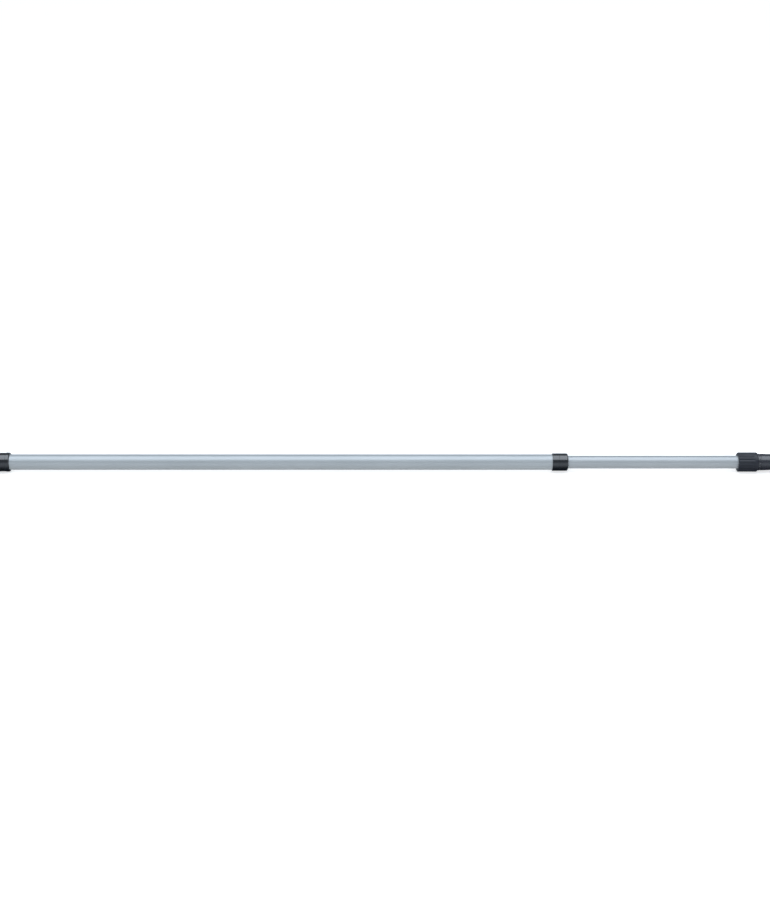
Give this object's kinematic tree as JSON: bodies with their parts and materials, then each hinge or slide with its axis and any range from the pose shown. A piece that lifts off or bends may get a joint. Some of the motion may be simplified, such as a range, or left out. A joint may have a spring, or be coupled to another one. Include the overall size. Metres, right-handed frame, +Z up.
{
  "type": "window cleaning pole",
  "caption": "Telescopic window cleaning pole with an inner twist lock, a grip and a clamped tapered tool adapter.",
  "frame": {"origin": "centre of the flat butt face, on the pole's axis", "axes": "+X along the pole from the butt to the tool end, +Z up as it lies, out of the tool button"},
  "size_m": [1.732, 0.0374, 0.0374],
  "materials": {
    "anodised_tube": "satin anodised, drawn lengthwise",
    "gloss_moulding": "glossy black moulding",
    "black_moulding": "fine-textured black moulding",
    "cone_moulding": "semi-gloss dark moulding",
    "grip_rubber": "soft matte black",
    "white_nylon": "natural nylon",
    "grey_nylon": "dark grey acetal",
    "band_rubber": "black elastomer",
    "zinc_steel": "zinc plated"
  },
  "bodies": {
    "outer_section": {"outer_tube": "anodised_tube", "butt_cap": "black_moulding", "grip_sleeve": "grip_rubber", "grip_ring": "gloss_moulding", "collar_sleeve": "gloss_moulding", "collar_cap": "gloss_moulding", "guide_bush": "white_nylon"},
    "lock_slider": {"expander_sleeve": "white_nylon", "expander_band": "band_rubber"},
    "lock_wedge": {"wedge_nut": "grey_nylon"},
    "inner_section": {"inner_tube": "anodised_tube", "stop_ring": "white_nylon", "tip_plug": "black_moulding", "lock_plug": "black_moulding", "lock_plug_pin": "zinc_steel", "lock_spindle": "zinc_steel", "slide_ring": "white_nylon", "stop_washer": "zinc_steel", "stop_nut": "zinc_steel"},
    "adapter": {"cone_adapter": "cone_moulding", "button_plug": "cone_moulding", "button_spring": "zinc_steel"},
    "collet": {"collet_ring": "grey_nylon"},
    "clamp": {"clamp_nut": "black_moulding"},
    "button": {"tool_button": "grey_nylon"}
  },
  "joints": [
    {"name": "extend", "type": "slide", "parent": "outer_section", "child": "lock_slider", "axis": [1, 0, 0], "range_m": [-0.319, 0.62]},
    {"name": "twist", "type": "hinge", "parent": "lock_slider", "child": "inner_section", "pos_m": [0.41, 0, 0], "axis": [1, 0, 0], "range_deg": [0, 360]},
    {"name": "wedge_travel", "type": "slide", "parent": "lock_slider", "child": "lock_wedge", "axis": [1, 0, 0], "range_m": [-0.00125, 0]},
    {"name": "adapter_pull", "type": "slide", "parent": "inner_section", "child": "adapter", "axis": [1, 0, 0], "range_m": [0, 0.06]},
    {"name": "collet_travel", "type": "slide", "parent": "adapter", "child": "collet", "axis": [1, 0, 0], "range_m": [-0.0045, 0]},
    {"name": "clamp_turn", "type": "hinge", "parent": "collet", "child": "clamp", "pos_m": [1.61, 0, 0], "axis": [1, 0, 0], "range_deg": [-540, 0]},
    {"name": "button_press", "type": "slide", "parent": "adapter", "child": "button", "axis": [0, 0, -1], "range_m": [0, 0.0032], "stiffness_N_per_m": 700, "springref_m": -0.004, "deforming": ["button_spring"]}
  ],
  "couplings": [
    {"joint": "wedge_travel", "follows": "twist", "m_per_rad": -0.00019894},
    {"joint": "collet_travel", "follows": "clamp_turn", "m_per_rad": 0.00047746}
  ]
}
